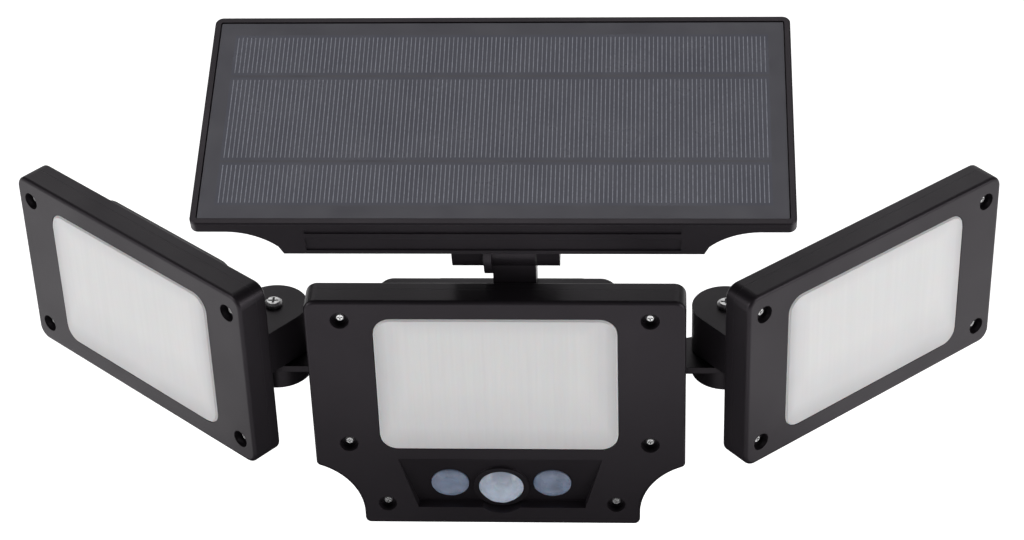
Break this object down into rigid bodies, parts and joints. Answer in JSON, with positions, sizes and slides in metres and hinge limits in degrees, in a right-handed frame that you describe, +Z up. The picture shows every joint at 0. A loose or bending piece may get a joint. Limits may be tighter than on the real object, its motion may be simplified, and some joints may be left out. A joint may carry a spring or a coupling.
{
  "type": "motion sensor security light",
  "caption": "Solar wall light with swivelling lamp heads, a motion sensor, push buttons and a tilting solar panel on a wall bracket.",
  "frame": {"origin": "centre of the wall bracket's back face, where the light touches the wall", "axes": "+X to the right for someone facing the light, +Y into the wall, +Z up"},
  "size_m": [0.511, 0.1604, 0.2439],
  "materials": {
    "black_plastic": "satin",
    "frosted_lens": "frosted",
    "lamp_board": "satin",
    "lamp_chips": "gloss",
    "seal": "matte",
    "steel": "satin",
    "sensor_white": "milky",
    "circuit_board": "satin",
    "switch_black": "matte",
    "button_blue": "gloss",
    "battery": "satin",
    "inner_plastic": "matte",
    "washer_black": "matte",
    "laminate": "gloss",
    "cells": "gloss"
  },
  "bodies": {
    "bracket": {"wall_bracket": "black_plastic"},
    "centre_head": {"head_front_frame": "black_plastic", "head_rear_housing": "black_plastic", "head_lens": "frosted_lens", "head_led_board": "lamp_board", "head_leds": "lamp_chips", "head_gasket": "seal", "head_screws": "steel", "sensor_lens": "sensor_white", "motion_detector": "steel", "control_board": "circuit_board", "button_switches": "switch_black", "battery_cells": "battery", "battery_holder": "inner_plastic", "panel_stem": "black_plastic", "stem_screws": "steel", "tilt_bolt": "steel", "tilt_nut": "steel", "left_tilt_washer": "washer_black", "right_tilt_washer": "washer_black", "left_pivot_nut": "steel", "right_pivot_nut": "steel", "left_pivot_screw": "steel", "right_pivot_screw": "steel", "left_detent_ring": "black_plastic", "right_detent_ring": "black_plastic"},
    "left_head": {"left_front_frame": "black_plastic", "left_rear_housing": "black_plastic", "left_lens": "frosted_lens", "left_led_board": "lamp_board", "left_leds": "lamp_chips", "left_gasket": "seal", "left_screws": "steel"},
    "right_head": {"right_front_frame": "black_plastic", "right_rear_housing": "black_plastic", "right_lens": "frosted_lens", "right_led_board": "lamp_board", "right_leds": "lamp_chips", "right_gasket": "seal", "right_screws": "steel"},
    "solar_panel": {"panel_housing": "black_plastic", "panel_bezel": "black_plastic", "panel_laminate": "laminate", "solar_cells": "cells", "charge_board": "circuit_board", "hinge_bolt": "steel", "hinge_nut": "steel", "left_hinge_washer": "washer_black", "right_hinge_washer": "washer_black"},
    "power_button": {"power_button": "button_blue"},
    "mode_button": {"mode_button": "button_blue"}
  },
  "joints": [
    {"name": "head_tilt", "type": "hinge", "parent": "bracket", "child": "centre_head", "pos_m": [0, -0.086, 0.015], "axis": [1, 0, 0], "range_deg": [-5, 25]},
    {"name": "left_swivel", "type": "hinge", "parent": "centre_head", "child": "left_head", "pos_m": [-0.114, -0.105, 0.0634], "axis": [0, 0, 1], "range_deg": [-6, 40]},
    {"name": "right_swivel", "type": "hinge", "parent": "centre_head", "child": "right_head", "pos_m": [0.114, -0.105, 0.0634], "axis": [0, 0, 1], "range_deg": [-40, 6]},
    {"name": "panel_tilt", "type": "hinge", "parent": "centre_head", "child": "solar_panel", "pos_m": [0.0096, -0.1135, 0.1324], "axis": [1, 0, 0], "range_deg": [-15, 45]},
    {"name": "power_press", "type": "slide", "parent": "centre_head", "child": "power_button", "axis": [0, 0.9871, 0.1599], "range_m": [0, 0.0008], "stiffness_N_per_m": 800},
    {"name": "mode_press", "type": "slide", "parent": "centre_head", "child": "mode_button", "axis": [0, 0.9871, 0.1599], "range_m": [0, 0.0008], "stiffness_N_per_m": 800}
  ]
}
